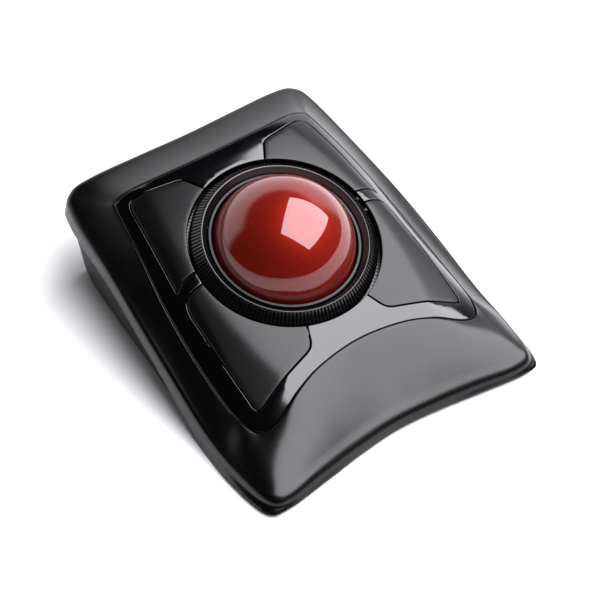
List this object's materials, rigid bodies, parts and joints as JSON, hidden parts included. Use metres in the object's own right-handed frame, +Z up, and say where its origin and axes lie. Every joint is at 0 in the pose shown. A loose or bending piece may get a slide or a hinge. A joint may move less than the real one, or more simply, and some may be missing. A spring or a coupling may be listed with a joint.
{
  "type": "computer mouse",
  "caption": "Stationary desktop pointing device: sloping case with a large ball in a socket, a scroll ring round it and curved press buttons at its corners.",
  "frame": {"origin": "centre of the bounding box in plan, on the table plane that the rubber feet stand on", "axes": "+X to the user's right, +Y away from the user to the high back edge, +Z up"},
  "size_m": [0.129, 0.1502, 0.0612],
  "materials": {
    "ball_red": "polished, slightly pearlescent",
    "base_black": "fine matt",
    "board_green": "solder-masked board",
    "button_black": "satin",
    "cell_wrap": "printed sleeve with no text",
    "chip_black": "moulded",
    "clear_lens": "polished, clear",
    "gloss_black": "polished",
    "inner_black": "fine matt",
    "ring_black": "satin, ribbed",
    "rubber": "matt",
    "ruby": "polished",
    "satin_charcoal": "satin, very fine grain",
    "spring_nickel": "nickel plated",
    "steel": "zinc plated",
    "white_plastic": "moulded"
  },
  "bodies": {
    "housing": {"ball_cup": "inner_black", "base": "base_black", "cell_back": "cell_wrap", "cell_front": "cell_wrap", "contact_plate_back": "spring_nickel", "contact_plate_front": "spring_nickel", "contact_spring_back": "spring_nickel", "contact_spring_front": "spring_nickel", "deck_bezel": "gloss_black", "encoder_board": "board_green", "foot_back_left": "rubber", "foot_back_right": "rubber", "foot_front_left": "rubber", "foot_front_right": "rubber", "inner_frame": "inner_black", "main_board": "board_green", "ring_detector": "chip_black", "ring_emitter": "chip_black", "ring_track": "white_plastic", "screw_back_left": "steel", "screw_back_right": "steel", "screw_front_left": "steel", "screw_front_right": "steel", "sensor_board": "board_green", "sensor_chip": "chip_black", "sensor_lens": "clear_lens", "support_bearing_1": "ruby", "support_bearing_2": "ruby", "support_bearing_3": "ruby", "switch_back_left": "chip_black", "switch_back_right": "chip_black", "switch_board_left": "board_green", "switch_board_right": "board_green", "switch_front_left": "chip_black", "switch_front_right": "chip_black", "top_cover": "satin_charcoal"},
    "button_back_left": {"button_back_left": "button_black"},
    "plunger_back_left": {"plunger_back_left": "white_plastic"},
    "button_back_right": {"button_back_right": "button_black"},
    "plunger_back_right": {"plunger_back_right": "white_plastic"},
    "button_front_left": {"button_front_left": "button_black"},
    "plunger_front_left": {"plunger_front_left": "white_plastic"},
    "button_front_right": {"button_front_right": "button_black"},
    "plunger_front_right": {"plunger_front_right": "white_plastic"},
    "scroll_ring": {"scroll_ring": "ring_black"},
    "trackball": {"trackball": "ball_red"},
    "battery_door": {"battery_door": "base_black"},
    "usb_receiver": {"usb_receiver": "inner_black"},
    "power_slider": {"power_slider": "white_plastic"},
    "pairing_button": {"pairing_button": "white_plastic"}
  },
  "joints": [
    {"name": "button_back_left_press", "type": "hinge", "parent": "housing", "child": "button_back_left", "pos_m": [-0.0426, 0.00594, 0.03349], "axis": [0, 0.9617, 0.2741], "range_deg": [0, 2], "stiffness_Nm_per_rad": 0.5, "springref_deg": -1.15},
    {"name": "plunger_back_left_travel", "type": "slide", "parent": "housing", "child": "plunger_back_left", "axis": [0, 0.2741, -0.9617], "range_m": [0, 0.00044]},
    {"name": "button_back_right_press", "type": "hinge", "parent": "housing", "child": "button_back_right", "pos_m": [0.0426, 0.00594, 0.03349], "axis": [0, -0.9617, -0.2741], "range_deg": [0, 2], "stiffness_Nm_per_rad": 0.5, "springref_deg": -1.15},
    {"name": "plunger_back_right_travel", "type": "slide", "parent": "housing", "child": "plunger_back_right", "axis": [0, 0.2741, -0.9617], "range_m": [0, 0.00044]},
    {"name": "button_front_left_press", "type": "hinge", "parent": "housing", "child": "button_front_left", "pos_m": [-0.0452, 0.00625, 0.03239], "axis": [0, 0.9617, 0.2741], "range_deg": [0, 2], "stiffness_Nm_per_rad": 0.5, "springref_deg": -1.15},
    {"name": "plunger_front_left_travel", "type": "slide", "parent": "housing", "child": "plunger_front_left", "axis": [0, 0.2741, -0.9617], "range_m": [0, 0.00047]},
    {"name": "button_front_right_press", "type": "hinge", "parent": "housing", "child": "button_front_right", "pos_m": [0.0452, 0.00625, 0.03239], "axis": [0, -0.9617, -0.2741], "range_deg": [0, 2], "stiffness_Nm_per_rad": 0.5, "springref_deg": -1.15},
    {"name": "plunger_front_right_travel", "type": "slide", "parent": "housing", "child": "plunger_front_right", "axis": [0, 0.2741, -0.9617], "range_m": [0, 0.00047]},
    {"name": "ring_spin", "type": "hinge", "parent": "housing", "child": "scroll_ring", "pos_m": [0, 0.0041, 0.03993], "axis": [0, -0.2741, 0.9617], "continuous": true},
    {"name": "ball_roll", "type": "hinge", "parent": "housing", "child": "trackball", "pos_m": [0, 0.00585, 0.03378], "axis": [1, 0, 0], "continuous": true},
    {"name": "battery_door_hinge", "type": "hinge", "parent": "housing", "child": "battery_door", "pos_m": [0, -0.04725, 0.0012], "axis": [-1, 0, 0], "range_deg": [0, 80]},
    {"name": "receiver_pull", "type": "slide", "parent": "housing", "child": "usb_receiver", "axis": [0, 1, 0], "range_m": [0, 0.016]},
    {"name": "power_switch_slide", "type": "slide", "parent": "housing", "child": "power_slider", "axis": [1, 0, 0], "range_m": [0, 0.004]},
    {"name": "pairing_press", "type": "slide", "parent": "housing", "child": "pairing_button", "axis": [0, 0, 1], "range_m": [0, 0.0008], "stiffness_N_per_m": 300, "springref_m": -0.002}
  ],
  "couplings": [
    {"joint": "plunger_back_left_travel", "follows": "button_back_left_press", "m_per_rad": 0.0096},
    {"joint": "plunger_back_right_travel", "follows": "button_back_right_press", "m_per_rad": 0.0096},
    {"joint": "plunger_front_left_travel", "follows": "button_front_left_press", "m_per_rad": 0.0107},
    {"joint": "plunger_front_right_travel", "follows": "button_front_right_press", "m_per_rad": 0.0107}
  ]
}
